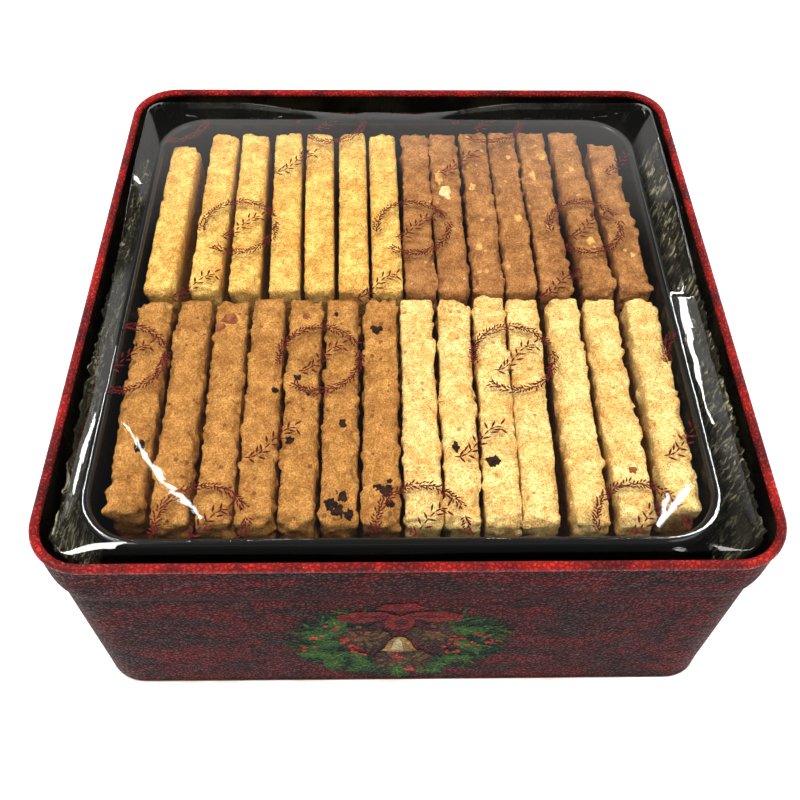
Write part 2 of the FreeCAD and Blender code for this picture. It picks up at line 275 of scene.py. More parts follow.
def dress_tin():
    """Printed paint outside, red over the curl and lacquer inside, by the way that each face looks."""
    dress("tin_body", tin_paint(), curl_paint(), tin_inside())
    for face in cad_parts["tin_body"].data.polygons:
        outward = Vector((face.center.x, face.center.y, 0)).normalized().dot(face.normal)
        if face.center.z > rim_z - CURL_HEIGHT:
            face.material_index = 1
        else:
            face.material_index = 2 if outward < -0.05 else 0
    dress("tin_bottom", bare_tinplate())


# -------- tray


def tray_plastic():
    """Glossy black thermoformed sheet with faint orange peel."""
    material, tree, shader = new_material("tray_plastic")
    peel = noise_value(tree, 240.0, 2.0)
    scuffs = ramp(tree, noise_value(tree, 900.0, 4.0, 0.7), 0.60, 0.80)
    feed(tree, shader, {
        "Base Color": mix_colour(tree, scuffs, (0.006, 0.006, 0.006), (0.016, 0.016, 0.015)),
        "Roughness": plus(tree, times(tree, scuffs, 0.15), 0.12),
        "Normal": bump(tree, peel, 0.12, 0.2 * MM),
        "Specular IOR Level": 0.3,
    })
    return material


# -------- cookies

# For each kind: pale and browned colours, fleck colour and share of flecks, then in millimetres the waviness
# of its sides, its relief, how far its edges are chipped and how far knobs stand out of them.
COOKIES = {
    "plain": dict(
        light=(0.93, 0.680, 0.205), dark=(0.78, 0.430, 0.100), fleck=(0.50, 0.23, 0.05), flecks=0.10,
        wave=0.15, relief=0.18, chipped=0.8, knobs=0.3,
    ),
    "chocolate": dict(
        light=(0.530, 0.265, 0.092), dark=(0.330, 0.150, 0.050), fleck=(0.66, 0.38, 0.14), flecks=0.12,
        wave=0.55, relief=0.30, chipped=1.0, knobs=3.2,
    ),
    "chip": dict(
        light=(0.600, 0.320, 0.090), dark=(0.410, 0.190, 0.046), fleck=(0.16, 0.055, 0.022), flecks=0.22,
        wave=0.32, relief=0.34, chipped=1.1, knobs=4.2,
    ),
    "light": dict(
        light=(0.98, 0.800, 0.350), dark=(0.86, 0.540, 0.175), fleck=(0.42, 0.16, 0.05), flecks=0.24,
        wave=0.60, relief=0.28, chipped=1.0, knobs=3.0,
    ),
}
MOST_SPREAD = 0.75 * MM  # that a side may stand out past its CAD bar
MESH_STEP = 1.0 * MM
LOWER_MESH_STEP = 4.0 * MM
EDGE_RADIUS = 0.8 * MM
PORE = (0.55, 0.45, 0.40)
# Painted shade: the tint of the slices' sides below their tops, where the gaps between them are dim.
SHADED_SIDE = (0.42, 0.33, 0.26)

# Lumps that show in the slices' top faces: the slice's number, where along it from its near end (0) to its
# far end (1), where across it from left (-1) to right (1), length and width in millimetres, and what it is.
LUMPS = {
    "chocolate": (
        (2, 0.58, -0.05, 6.5, 4.2, "almond"), (2, 0.68, -0.55, 7.0, 2.6, "nut"),
        (3, 0.62, -0.55, 4.6, 2.4, "nut"), (3, 0.25, -0.5, 3.0, 2.4, "nut"),
        (4, 0.82, 0.35, 3.0, 1.8, "nut"), (4, 0.42, 0.45, 3.4, 2.8, "nut"),
        (5, 0.82, 0.65, 4.0, 3.2, "nut"), (5, 0.7, -0.45, 5.0, 2.6, "nut"),
        (5, 0.36, 0.15, 3.6, 3.0, "nut"), (6, 0.74, 0.0, 2.6, 1.8, "nut"), (6, 0.28, 0.1, 3.6, 3.2, "nut"),
        (7, 0.22, 0.4, 2.8, 2.0, "nut"),
    ),
    "chip": (
        (1, 0.27, 0.55, 4.2, 2.6, "chip"), (3, 0.9, -0.1, 4.4, 4.4, "stain"),
        (3, 0.86, -0.75, 2.6, 2.6, "stain"), (5, 0.91, 0.1, 3.2, 3.0, "stain"),
        (5, 0.6, -0.35, 4.0, 3.0, "chip"), (5, 0.53, 0.4, 2.4, 2.6, "chip"),
        (4, 0.55, 0.85, 2.2, 2.2, "chip"), (5, 0.33, -0.7, 2.8, 2.4, "chip"),
        (6, 0.92, -0.5, 2.4, 1.6, "chip"), (6, 0.4, 0.2, 3.2, 2.2, "chip"),
        (6, 0.07, -0.5, 4.2, 3.2, "chip"), (6, 0.04, 0.1, 3.6, 4.0, "chip"),
        (6, 0.1, 0.3, 3.8, 2.4, "chip"), (6, 0.03, 0.75, 3.2, 3.0, "chip"),
        (6, 0.12, -0.2, 2.0, 1.8, "chip"), (7, 0.84, -0.3, 3.4, 3.4, "chip"),
        (7, 0.13, -0.3, 2.8, 2.6, "chip"), (7, 0.12, 0.3, 3.8, 3.6, "chip"),
        (7, 0.07, 0.6, 3.4, 2.4, "chip"), (7, 0.16, 0.6, 2.0, 1.8, "chip"),
    ),
    "light": (
        (2, 0.8, -0.2, 3.2, 3.2, "nut"), (2, 0.55, 0.5, 4.6, 3.0, "nut"), (2, 0.3, -0.3, 4.0, 2.4, "chip"),
        (3, 0.24, -0.55, 4.0, 3.6, "chip"), (6, 0.2, 0.2, 3.0, 2.6, "stain"),
    ),
}
LUMP_COLOURS = {
    "almond": ((0.86, 0.66, 0.36), (0.70, 0.44, 0.16)),
    "nut": ((0.72, 0.42, 0.13), (0.50, 0.25, 0.07)),
    "chip": ((0.008, 0.004, 0.003), (0.035, 0.013, 0.007)),
    "stain": ((0.20, 0.050, 0.022), (0.30, 0.110, 0.040)),
}


def cookie_material(kind):
    """Baked crumb: patchy browning, sandy grain, pores, pale crumbs and flecks, and painted shade darker
    down the sides.
    """
    look = COOKIES[kind]
    material, tree, shader = new_material(f"crumb_{kind}")
    where = place(tree)
    browning = ramp(tree, noise_value(tree, 130.0, 5.0, 0.65), 0.34, 0.68)
    colour = mix_colour(tree, browning, look["light"], look["dark"])
    patch = ramp(tree, noise_value(tree, 330.0, 4.0, 0.6, 0.8), 0.36, 0.64)
    colour = tinted(tree, colour, mix_colour(tree, patch, (0.80, 0.74, 0.66), (1.10, 1.10, 1.10)))
    grain = noise_value(tree, 2100.0, 3.0, 0.7)
    sand = ramp(tree, grain, 0.39, 0.61)
    colour = tinted(tree, colour, mix_colour(tree, sand, (0.62, 0.51, 0.40), (1.12, 1.12, 1.14)))
    pores = ramp(tree, noise_value(tree, 780.0, 3.0, 0.7), 0.60, 0.72)
    colour = mix_colour(tree, times(tree, pores, 0.65), colour, tinted(tree, look["dark"], PORE))
    crumbs = ramp(tree, noise_value(tree, 640.0, 2.0, 0.6), 0.60, 0.72)
    pale = [min(1.0, 1.15 * c + 0.05) for c in look["light"]]
    colour = mix_colour(tree, times(tree, crumbs, 0.45), colour, pale)
    cells = add(tree, "ShaderNodeTexVoronoi", {"Vector": where, "Scale": 420.0, "Randomness": 1.0})
    tint = add(tree, "ShaderNodeSeparateXYZ", {0: cells.outputs["Color"]})
    chosen = ramp(tree, tint.outputs[0], 1 - look["flecks"], 1.01 - look["flecks"])
    size = plus(tree, times(tree, tint.outputs[1], 0.22), 0.10)
    ragged = times(tree, noise_value(tree, 1500.0, 2.0), 0.25)
    reach = plus(tree, cells.outputs["Distance"], ragged)
    spot = math_node(tree, "LESS_THAN", reach, plus(tree, size, 0.125))
    fleck = times(tree, times(tree, chosen, spot), 0.8)
    colour = mix_colour(tree, fleck, colour, look["fleck"])
    # Painted shade: the colour darkens from 1.6 mm to 10 mm below the slices' tops.
    slice_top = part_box(f"cookie_{kind}_4")[1].z
    near_top = ramp(tree, height_of(tree), slice_top - 10.0 * MM, slice_top - 1.6 * MM)
    coarse = noise_value(tree, 620.0, 3.0, 0.6)
    relief = plus(tree, times(tree, coarse, 1.2), grain)
    feed(tree, shader, {
        "Base Color": mix_colour(tree, near_top, tinted(tree, colour, SHADED_SIDE), colour),
        "Normal": bump(tree, relief, 0.9, 0.50 * MM),
        "Roughness": 0.85,
        "Specular IOR Level": 0.2,
    })
    return material


def lump_material(kind):
    pale, dark = LUMP_COLOURS[kind]
    material, tree, shader = new_material(f"lump_{kind}")
    mixed = ramp(tree, noise_value(tree, 600.0, 3.0, 0.6), 0.38, 0.66)
    feed(tree, shader, {
        "Base Color": mix_colour(tree, mixed, pale, dark),
        "Normal": bump(tree, noise_value(tree, 1300.0, 3.0, 0.6), 0.5, 0.3 * MM),
        "Roughness": 0.8,
        "Specular IOR Level": 0.15,
    })
    return material


def slab_axes(node):
    """Centre, axes and half sizes of a CAD slice: thickness, length and height."""
    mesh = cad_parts[node].data
    spread = np.zeros((3, 3))
    for face in mesh.polygons:
        normal = np.array(face.normal)
        spread += face.area * np.outer(normal, normal)
    across = np.linalg.eigh(spread)[1][:, -1]
    across *= np.sign(across[0])
    along = np.cross((0, 0, 1), across)
    along /= np.linalg.norm(along)
    up = np.cross(across, along)
    axes = np.array((across, along, up))
    points = np.array([v.co for v in mesh.vertices]) @ axes.T
    low, high = points.min(0), points.max(0)
    return (low + high) / 2 @ axes, axes, (high - low) / 2


def even(low, high, step):
    return np.linspace(low, high, max(2, round((high - low) / step)) + 1)


def coarse_below(half, fine_share):
    """Stations from -half to half, close together only in the upper fine_share of them."""
    split = half - 2 * half * fine_share
    return np.concatenate((even(-half, split, LOWER_MESH_STEP)[:-1], even(split, half, MESH_STEP)))


def block_mesh(stations):
    """Vertices and quads of a closed block, gridded at the given stations along each axis."""
    index = {}
    points = []
    faces = []

    def vertex(key):
        if key not in index:
            index[key] = len(points)
            points.append([stations[axis][key[axis]] for axis in range(3)])
        return index[key]

    for axis in range(3):
        a, b = [other for other in range(3) if other != axis]
        for side in (0, len(stations[axis]) - 1):
            turned = (side == 0) != (axis == 1)
            for i in range(len(stations[a]) - 1):
                for j in range(len(stations[b]) - 1):
                    ring = []
                    for step_a, step_b in ((0, 0), (1, 0), (1, 1), (0, 1)):
                        key = [0, 0, 0]
                        key[axis] = side
                        key[a] = i + step_a
                        key[b] = j + step_b
                        ring.append(vertex(tuple(key)))
                    faces.append(ring[::-1] if turned else ring)
    return np.array(points), faces


def rounded(points, half, radius):
    """Rounds the edges of a block."""
    core = np.clip(points, -(half - radius), half - radius)
    away = points - core
    reach = np.linalg.norm(away, axis=1, keepdims=True)
    return core + away * np.where(reach > 1e-9, radius / np.maximum(reach, 1e-9), 0.0)


def crumble(points, half, look, seed):
    """Waves, bumps and chipped edges of a baked slice."""
    moved = points.copy()
    wave = look["wave"] * MM
    relief = look["relief"] * MM
    shift = Vector((seed * 7.3, seed * 3.1, seed * 5.7))
    for k, (u, v, w) in enumerate(points):
        here = Vector((u, v, w))
        side = u / half[0]
        drift = noise.noise(Vector((0.3 * side, v * 42, w * 30)) + shift) * 0.9
        drift += noise.noise(Vector((1.5 * side, v * 95, w * 80)) + shift) * 0.6
        drift += noise.noise(Vector((3.0 * side, v * 210, w * 200)) + shift) * 0.2
        knob = max(0.0, noise.noise(here * 260 + shift * 1.7) - 0.24) * look["knobs"] * MM
        du = wave * drift * (0.35 + 0.65 * abs(side))
        rough = noise.noise(here * 330 + shift) * 0.55 + noise.noise(here * 800 + shift) * 0.45
        swell = noise.noise(Vector((u * 60, v * 45, w * 45)) - shift)
        edge_u = max(0.0, abs(side) - 0.62) / 0.38
        edge_w = max(0.0, w / half[2] - 0.94) / 0.06
        edge_v = max(0.0, abs(v) / half[1] - 0.955) / 0.045
        corner = max(edge_u * edge_w, edge_v * edge_w, edge_u * edge_v)
        nibble = noise.noise(here * 190 + shift * 2) + 0.55 * noise.noise(here * 520 - shift) + 0.12
        bite = max(0.0, nibble) * corner * look["chipped"] * 2.6 * MM
        jag = relief * 1.5 * noise.noise(here * 560 + shift * 3)
        spread = (np.sign(side) * du + jag + knob) * edge_u - bite * 0.7
        moved[k, 0] += np.sign(side) * min(spread, MOST_SPREAD) + du * (1 - edge_u)
        upper = 1.0 if w > 0.8 * half[2] else 0.3
        moved[k, 2] += (relief * (rough + 1.1 * swell) + 0.5 * knob) * upper - bite
        ragged = relief * 2.0 * (rough + swell) * min(1.0, edge_v + 0.1) + 0.6 * knob * edge_v - bite
        moved[k, 1] += np.sign(v) * ragged
    return moved


def lump_mesh(centre, axes, length, width, height, seed):
    """Vertices and faces of a lumpy pebble, in the row frame."""
    rings, spokes = 12, 20
    points = [(0, 0, 1)]
    for i in range(1, rings):
        polar = math.pi * i / rings
        for j in range(spokes):
            x, y = polar_point(math.sin(polar), 2 * math.pi * j / spokes)
            points.append((x, y, math.cos(polar)))
    points.append((0, 0, -1))
    faces = []
    for j in range(spokes):
        after = (j + 1) % spokes
        faces.append((0, 1 + j, 1 + after))
        last = 1 + (rings - 2) * spokes
        faces.append((last + after, last + j, len(points) - 1))
        for i in range(rings - 2):
            row = 1 + i * spokes
            faces.append((row + j, row + spokes + j, row + spokes + after, row + after))
    made = []
    for p in points:
        spot = Vector(p) + Vector((seed, seed * 2, 0))
        swell = 1 + 0.55 * noise.noise(spot * 1.5) + 0.30 * noise.noise(spot * 3.7)
        local = np.array((p[0] * width / 2, p[1] * length / 2, p[2] * height / 2)) * swell
        made.append(centre + local @ axes)
    return made, faces


def polar_point(radius, angle, centre=(0.0, 0.0)):
    return (centre[0] + radius * math.cos(angle), centre[1] + radius * math.sin(angle))


def mesh_object(name, points, faces, materials, indices=None, smooth=True):
    mesh = bpy.data.meshes.new(name)
    mesh.from_pydata([tuple(p) for p in points], [], [tuple(f) for f in faces])
    for material in materials:
        mesh.materials.append(material)
    if indices is not None:
        mesh.polygons.foreach_set("material_index", indices)
    mesh.polygons.foreach_set("use_smooth", [smooth] * len(mesh.polygons))
    mesh.update()
    made = bpy.data.objects.new(name, mesh)
    bpy.context.scene.collection.objects.link(made)
    return made


def build_cookie(kind, number, crumb, lump_materials, lumps):
    """One slice in place of its CAD bar, with the lumps that show in it."""
    node = f"cookie_{kind}_{number}"
    centre, axes, half = slab_axes(node)
    look = COOKIES[kind]
    stations = [even(-reach, reach, MESH_STEP) for reach in half[:2]]
    points, faces = block_mesh((*stations, coarse_below(half[2], 0.38)))
    seed = 11 * number + 101 * sorted(COOKIES).index(kind)
    points = crumble(rounded(points, half, EDGE_RADIUS), half, look, seed)
    points = [centre + p @ axes for p in points]
    indices = [0] * len(faces)
    used = ["crumb"]
    for along, across, length, width, what in lumps:
        if what not in used:
            used.append(what)
        spot = np.array((across * half[0] * 0.8, (2 * along - 1) * half[1], half[2] - 0.25 * MM))
        thick = min(length, width) * (0.35 if what == "stain" else 0.62) * MM
        lump, lump_faces = lump_mesh(
            centre + spot @ axes, axes, length * MM, width * MM, thick, seed + along * 10
        )
        start = len(points)
        points.extend(lump)
        faces.extend([tuple(start + v for v in f) for f in lump_faces])
        indices.extend([used.index(what)] * len(lump_faces))
    slots = [crumb] + [lump_materials[what] for what in used[1:]]
    cookie = mesh_object(f"slice_{kind}_{number}", points, faces, slots, indices)
    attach(cookie, "pack")
    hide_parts(node)


def build_cookies():
    crumbs = {kind: cookie_material(kind) for kind in COOKIES}
    lumps_in = {kind: lump_material(kind) for kind in LUMP_COLOURS}
    for kind in COOKIES:
        for number in range(1, 8):
            lumps = [lump[1:] for lump in LUMPS.get(kind, ()) if lump[0] == number]
            build_cookie(kind, number, crumbs[kind], lumps_in, lumps)


# -------- film


def contour(half_x, half_y, radius, centre, per_side=56, per_corner=20):
    """Points round a rounded rectangle, the same number on every side and corner."""
    points = []
    middles = []
    for sx, sy in ((1, -1), (1, 1), (-1, 1), (-1, -1)):
        middles.append((centre[0] + sx * (half_x - radius), centre[1] + sy * (half_y - radius)))
    for k, middle in enumerate(middles):
        for i in range(per_corner):
            points.append(polar_point(radius, math.radians(90 * (k - 1 + i / per_corner)), middle))
        turn = math.radians(90 * k)
        start = np.array(polar_point(radius, turn, middle))
        end = np.array(polar_point(radius, turn, middles[(k + 1) % 4]))
        points.extend(start + (end - start) * (i / per_side) for i in range(per_side))
    return np.array(points)


def tray_contour(inset, **counts):
    """The tray's outline in plan, moved in by inset."""
    return contour(
        tray_half.x - inset,
        tray_half.y - inset,
        TRAY_CORNER - inset,
        (tray_middle.x, tray_middle.y),
        **counts,
    )


FILM_DIP = 0.55 * MM  # of the flat film, at its middle
FILM_WAVE = 0.16 * MM
BOTH_FACES = 1.75  # film mirrors at its two faces
MOST_MIRRORED = 0.30


def film_sag(x, y):
    """How far the taut film dips between the tray's rims, with its faint waves."""
    u = (x - tray_middle.x) / tray_half.x
    v = (y - tray_middle.y) / tray_half.y
    dip = FILM_DIP * max(0.0, 1 - u * u) * max(0.0, 1 - v * v)
    waves = noise.noise(Vector((x * 34, y * 26, 1.7))) * FILM_WAVE
    return -dip + waves * max(0.0, 1 - max(abs(u), abs(v)) ** 4)


def see_through(tree, share, tint, shader):
    """Mixes a share of shader with tinted clear film, as the material's surface."""
    clear = add(tree, "ShaderNodeBsdfTransparent", {"Color": tint})
    both = add(tree, "ShaderNodeMixShader", {0: share, 1: clear.outputs[0], 2: shader.outputs[0]})
    tree.links.new(both.outputs[0], tree.nodes["Material Output"].inputs["Surface"])


def film_material():
    """Clear glossy film: it lets nearly all light through and mirrors the rest."""
    material, tree, shader = new_material("clear_film")
    tree.nodes.remove(shader)
    waves = noise_value(tree, 70.0, 3.0, 0.5, 0.4)
    ripples = noise_value(tree, 420.0, 2.0, 0.5)
    normal = bump(tree, plus(tree, waves, times(tree, ripples, 0.06)), 0.05, 0.6 * MM)
    one_face = add(tree, "ShaderNodeFresnel", {"IOR": 1.5, "Normal": normal}).outputs[0]
    share = math_node(tree, "MINIMUM", times(tree, one_face, BOTH_FACES), MOST_MIRRORED)
    mirror_inputs = {"Color": (1, 1, 1, 1), "Roughness": 0.025, "Normal": normal}
    mirror = add(tree, "ShaderNodeBsdfGlossy", mirror_inputs)
    see_through(tree, share, (0.965, 0.960, 0.945, 1.0), mirror)
    return material


# The film's upper edge, from the middle of the tin, and how far it hangs below the flat film at each side.
FILM_LEFT = 89.8 * MM
FILM_RIGHT = 89.6 * MM
FILM_BACK = 86.0 * MM
FILM_FRONT = 88.6 * MM
DROP_BACK = 0.4 * MM
DROP_SIDE = 0.9 * MM
DROP_FRONT = 2.4 * MM
FILM_CORNER = 5.0 * MM
EAR_RISE = 3.6 * MM  # of the two back corners
FRONT_EAR_RISE = -1.2 * MM
CREASE = 0.25 * MM
CRINKLE = 0.45 * MM
FOOT_INSET = 3.4 * MM


def film_shell(material):
    """The taut film: flat over the tray, out past its rim to folded corners, down its sides and under it."""
    rim = tray_contour(ROLL_CREST)
    outer_half = ((FILM_LEFT + FILM_RIGHT) / 2, (FILM_BACK + FILM_FRONT) / 2)
    outer_centre = ((FILM_RIGHT - FILM_LEFT) / 2, (FILM_BACK - FILM_FRONT) / 2)
    outer = contour(*outer_half, FILM_CORNER, outer_centre)
    middle = np.array((tray_middle.x, tray_middle.y))
    count = len(rim)
    points = [(middle[0], middle[1], film_z + film_sag(*middle))]
    rings = 0
    for share in (*np.linspace(0.03, 0.97, 38), 0.985, 0.993, 1.0):
        for x, y in middle + (rim - middle) * share:
            points.append((x, y, film_z + film_sag(x, y)))
        rings += 1
    spare = np.linalg.norm(outer - rim, axis=1)
    outward = (outer - rim) / spare[:, None]
    front = np.maximum(-outward[:, 1], 0) ** 2
    drops = (
        DROP_FRONT * front
        + DROP_BACK * np.maximum(outward[:, 1], 0) ** 2
        + DROP_SIDE * outward[:, 0] ** 2
    )
    edge_z = np.zeros(count)
    for share in (0.06, 0.14, 0.25, 0.4, 0.55, 0.7, 0.82, 0.92, 1.0):
        for k in range(count):
            x, y = rim[k] + (outer[k] - rim[k]) * share
            at_corner = min(1.0, max(0.0, (spare[k] - 5 * MM) / (7 * MM)))
            at_corner = at_corner * at_corner * (3 - 2 * at_corner)
            drop = drops[k] * share * (1 - at_corner)
            lift = (EAR_RISE if y > 0 else FRONT_EAR_RISE) * at_corner * share**1.3
            crease = noise.noise(Vector((x * 150, y * 150, 4.0))) * CREASE * share * (1 - 0.85 * front[k])
            edge_z[k] = film_z - drop + lift + crease
            points.append((x, y, edge_z[k]))
        rings += 1
    foot = tray_contour(FOOT_INSET)
    foot_z = film_low.z + 0.15 * MM
    for level in np.linspace(0.05, 1.0, 20):
        for k in range(count):
            crinkle = noise.noise(Vector((outer[k][0] * 210, outer[k][1] * 210, level * 3)))
            inward = CRINKLE * max(0.0, crinkle) * min(1.0, level * 4)
            x, y = outer[k] + (foot[k] - outer[k]) * level - outward[k] * inward
            points.append((x, y, edge_z[k] + (foot_z - edge_z[k]) * level))
        rings += 1
    for share in (0.985, 0.5):
        for x, y in middle + (foot - middle) * share:
            points.append((x, y, foot_z))
        rings += 1
    points.append((middle[0], middle[1], foot_z))
    faces = [(0, 1 + k, 1 + (k + 1) % count) for k in range(count)]
    for ring in range(rings - 1):
        low = 1 + ring * count
        for k in range(count):
            after = (k + 1) % count
            faces.append((low + k, low + count + k, low + count + after, low + after))
    last = 1 + (rings - 1) * count
    faces.extend((last + (k + 1) % count, last + k, len(points) - 1) for k in range(count))
    shell = mesh_object("film_sleeve", points, faces, [material])
    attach(shell, "pack")
    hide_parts("film_wrap")
    return shell


def seal_material(side, grain):
    """Crimped film: clear, with milky cream lines that run the way in which grain squeezes them, partly the
    seal's milkiness and partly painted highlights of its crinkles.
    """
    material, tree, shader = new_material(f"film_seal_{side}")
    ridges = noise_value(tree, 850.0, 3.0, 0.6, 0.5, stretched(tree, grain))
    seal_and_glint_lines = ramp(tree, ridges, 0.53, 0.63)
    patches = ramp(tree, noise_value(tree, 70.0, 2.0), 0.35, 0.55)
    # The cream base colour is partly the seal's milkiness and partly painted highlight where the crinkles
    # catch light.
    feed(tree, shader, {
        "Base Color": (0.70, 0.65, 0.44, 1.0),
        "Roughness": 0.12,
        "Specular IOR Level": 1.0,
        "Normal": bump(tree, ridges, 0.8, 0.6 * MM),
    })
    share = plus(tree, times(tree, seal_and_glint_lines, patches), 0.05)
    see_through(tree, share, (0.96, 0.955, 0.93, 1.0), shader)
    return material


# For each side: how far back it reaches, the height of its teeth, and its strips, each as its place across
# from the first, how far its top lies below the first's, and its depth. All in millimetres.
FINS = {
    "right": (70, 1.2, ((0.0, 0.0, 30.0), (-2.6, 2.5, 22.0))),
    "left": (62, 0.0, ((0.0, 0.0, 30.0), (-1.6, 1.5, 24.0))),
}
FIN_FRONT = -84 * MM
TEETH = 44


def film_fin(side, material):
    """Crimped end of the film: crumpled, toothed strips that stand between the tray and the tin's wall."""
    sign = 1 if side == "right" else -1
    reach = film_high.x if side == "right" else -film_low.x
    back, tooth_height, strips = FINS[side]
    columns, rows = 300, 14
    points = []
    faces = []
    for strip, (inset, sunk, deep) in enumerate(strips):
        start = len(points)
        for i in range(columns + 1):
            share = i / columns
            y = FIN_FRONT + (back * MM - FIN_FRONT) * share
            tooth = abs((share * TEETH + strip * 0.3) % 1 - 0.5) * 2
            wander = 1.3 * MM * noise.noise(Vector((y * 60, strip * 3.0, sign)))
            crest = film_z - 0.8 * MM - sunk * MM + 1.2 * MM * noise.noise(Vector((y * 90, strip, 5.0)))
            for j in range(rows + 1):
                level = j / rows
                z = crest - deep * MM * (1 - level) + (tooth_height * MM * tooth if j == rows else 0)
                pleat = noise.noise(Vector((y * 380, z * 60, 2.0 * sign + strip)))
                pleat += 0.5 * noise.noise(Vector((y * 900, z * 200, 7.0)))
                x = reach - 1.0 * MM + inset * MM - 3.0 * MM * (1 - level) + 1.1 * MM * pleat + wander
                points.append((sign * min(x, reach), y, z))
        for i in range(columns):
            for j in range(rows):
                a = start + i * (rows + 1) + j
                faces.append((a, a + rows + 1, a + rows + 2, a + 1))
    fin = mesh_object(f"film_crimp_{side}", points, faces, [material])
    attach(fin, "pack")
    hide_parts("film_wrap")


# -------- print on the film

PRINT_PITCH_X = 56 * MM
PRINT_PITCH_Y = 54 * MM
SPRIG_PITCH_Y = 57 * MM
PRINT_RADIUS = 11.6 * MM
PRINT_DEPTH = 0.06 * MM  # of the ink under the film's upper face
RING_STEPS = 84
RING_OPENINGS = ((3.35, 4.0), (0.15, 0.40))

# Half outlines, from stalk to tip, as shares of the leaf's length and half width.
LEAF = ((0, 0), (0.25, 0.8), (0.55, 1.0), (0.8, 0.55))
HOLLY = (
    (0, 0), (0.14, 0.42), (0.24, 1.0), (0.36, 0.55), (0.50, 1.05), (0.62, 0.5), (0.76, 0.8), (0.86, 0.3),
)


def leaf(centre, angle, length, width, half_outline=LEAF):
    """Outline of a leaf in the plane."""
    outline = [*half_outline, (1, 0), *((share, -half) for share, half in reversed(half_outline[1:]))]
    made = []
    for share, half in outline:
        u = (share - 0.5) * length
        v = half * width / 2
        made.append(
            (
                centre[0] + u * math.cos(angle) - v * math.sin(angle),
                centre[1] + u * math.sin(angle) + v * math.cos(angle),
            )
        )
    return made


def ring_motif(x, y, rng):
    """Ring of fine leaves, open at two places, with a plain sprig inside."""
    shapes = []
    for k in range(RING_STEPS):
        turn = 2 * math.pi * k / RING_STEPS
        if any(start < turn < end for start, end in RING_OPENINGS):
            continue
        for lean in (-0.75, 0.8, 0.0):
            radius = PRINT_RADIUS + (lean + rng.uniform(-0.45, 0.45)) * MM
            at = polar_point(radius, turn, (x, y))
            bearing = turn + math.pi / 2 + lean + rng.uniform(-0.45, 0.45)
            shapes.append(leaf(at, bearing, rng.uniform(1.0, 2.0) * MM, 0.48 * MM))
    shapes.extend(sprig_motif(x + 0.5 * MM, y, rng, 0.95))
    return shapes


def sprig_motif(x, y, rng, size=1.0):
    """Curved stem with paired leaves."""
    shapes = []
    previous = None
    for k in range(9):
        share = k / 8 - 0.5
        at = (x + share * 13 * MM * size, y + (share * 7 + 2.2 * math.sin(share * 5)) * MM * size)
        if previous is not None:
            angle = math.atan2(at[1] - previous[1], at[0] - previous[0])
            middle = ((at[0] + previous[0]) / 2, (at[1] + previous[1]) / 2)
            shapes.append(leaf(middle, angle, 2.3 * MM * size, 0.5 * MM * size))
            for turn in (0.8, -0.8):
                reach = (1.5 if k % 2 else 2.2) * MM * size
                tip = polar_point(reach, angle + turn, middle)
                lean = angle + turn + rng.uniform(-0.3, 0.3)
                shapes.append(leaf(tip, lean, 2.6 * MM * size, 0.66 * MM * size))
        previous = at
    return shapes


def print_material():
    """Maroon ink, a little uneven."""
    material, tree, shader = new_material("film_ink")
    ink = ramp(tree, noise_value(tree, 900.0, 2.0), 0.40, 0.70)
    feed(tree, shader, {
        "Base Color": mix_colour(tree, ink, (0.055, 0.004, 0.004), (0.130, 0.012, 0.010)),
        "Roughness": 0.6,
        "Specular IOR Level": 0.1,
    })
    return material


def film_print():
    """Repeat of rings and sprigs over the film, in staggered rows."""
    rng = random.Random(5)
    shapes = []
    for row in range(-2, 2):
        for column in range(-2, 3):
            x = 3 * MM + PRINT_PITCH_X * column + row % 2 * PRINT_PITCH_X / 2
            shapes.extend(ring_motif(x, 27 * MM + PRINT_PITCH_Y * row, rng))
            x = -9 * MM + PRINT_PITCH_X * column + row % 2 * PRINT_PITCH_X / 2
            shapes.extend(sprig_motif(x, 1 * MM + SPRIG_PITCH_Y * row, rng))
    inner_x = tray_half.x - ROLL_CREST
    inner_y = tray_half.y - ROLL_CREST
    bend = TRAY_CORNER - ROLL_CREST
    points = []
    faces = []
    for shape in shapes:
        cx = sum(p[0] for p in shape) / len(shape) - tray_middle.x
        cy = sum(p[1] for p in shape) / len(shape) - tray_middle.y
        dx = max(abs(cx) - inner_x + bend, 0)
        dy = max(abs(cy) - inner_y + bend, 0)
        if math.hypot(dx, dy) > bend - 1.2 * MM or abs(cx) > inner_x or abs(cy) > inner_y:
            continue
        faces.append(tuple(range(len(points), len(points) + len(shape))))
        points.extend((x, y, film_z + film_sag(x, y) - PRINT_DEPTH) for x, y in shape)
    made = mesh_object("film_print", points, faces, [print_material()], smooth=False)
    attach(made, "pack")


# -------- picture on the tin


def picture_material(name, light, dark, scale=380.0):
    """Printed colour that shares the tin's embossed grain."""
    material, tree, shader = new_material(name)
    mixed = ramp(tree, noise_value(tree, scale, 3.0, 0.6), 0.38, 0.64)
    printed_finish(tree, shader, mix_colour(tree, mixed, light, dark), bump_strength=0.5, groove=0.72)
    return material


def disc(centre, radius, corners):
    return [polar_point(radius, 2 * math.pi * k / corners, centre) for k in range(corners)]


WREATH_STRETCH = 1.06
WREATH_RISE = 1.12
WREATH_OFFSET = 2.3 * MM
INK_LIFT, INK_LAYERS = 0.03, 0.12  # millimetres: the first layer off the wall, and all layers together
CONES = ((-10.0, 3.0, 7.6), (9.4, 5.0, 7.2), (1.0, -12.6, 8.4))
# Sprays of fir: colour, how many needles, their length, and the nearest and farthest share of the radius.
SPRAYS = (
    ("fir_dark", 300, 9.0, 0.50, 0.98),
    ("fir", 250, 8.0, 0.52, 0.99),
    ("fir_light", 110, 8.0, 0.66, 1.00),
)
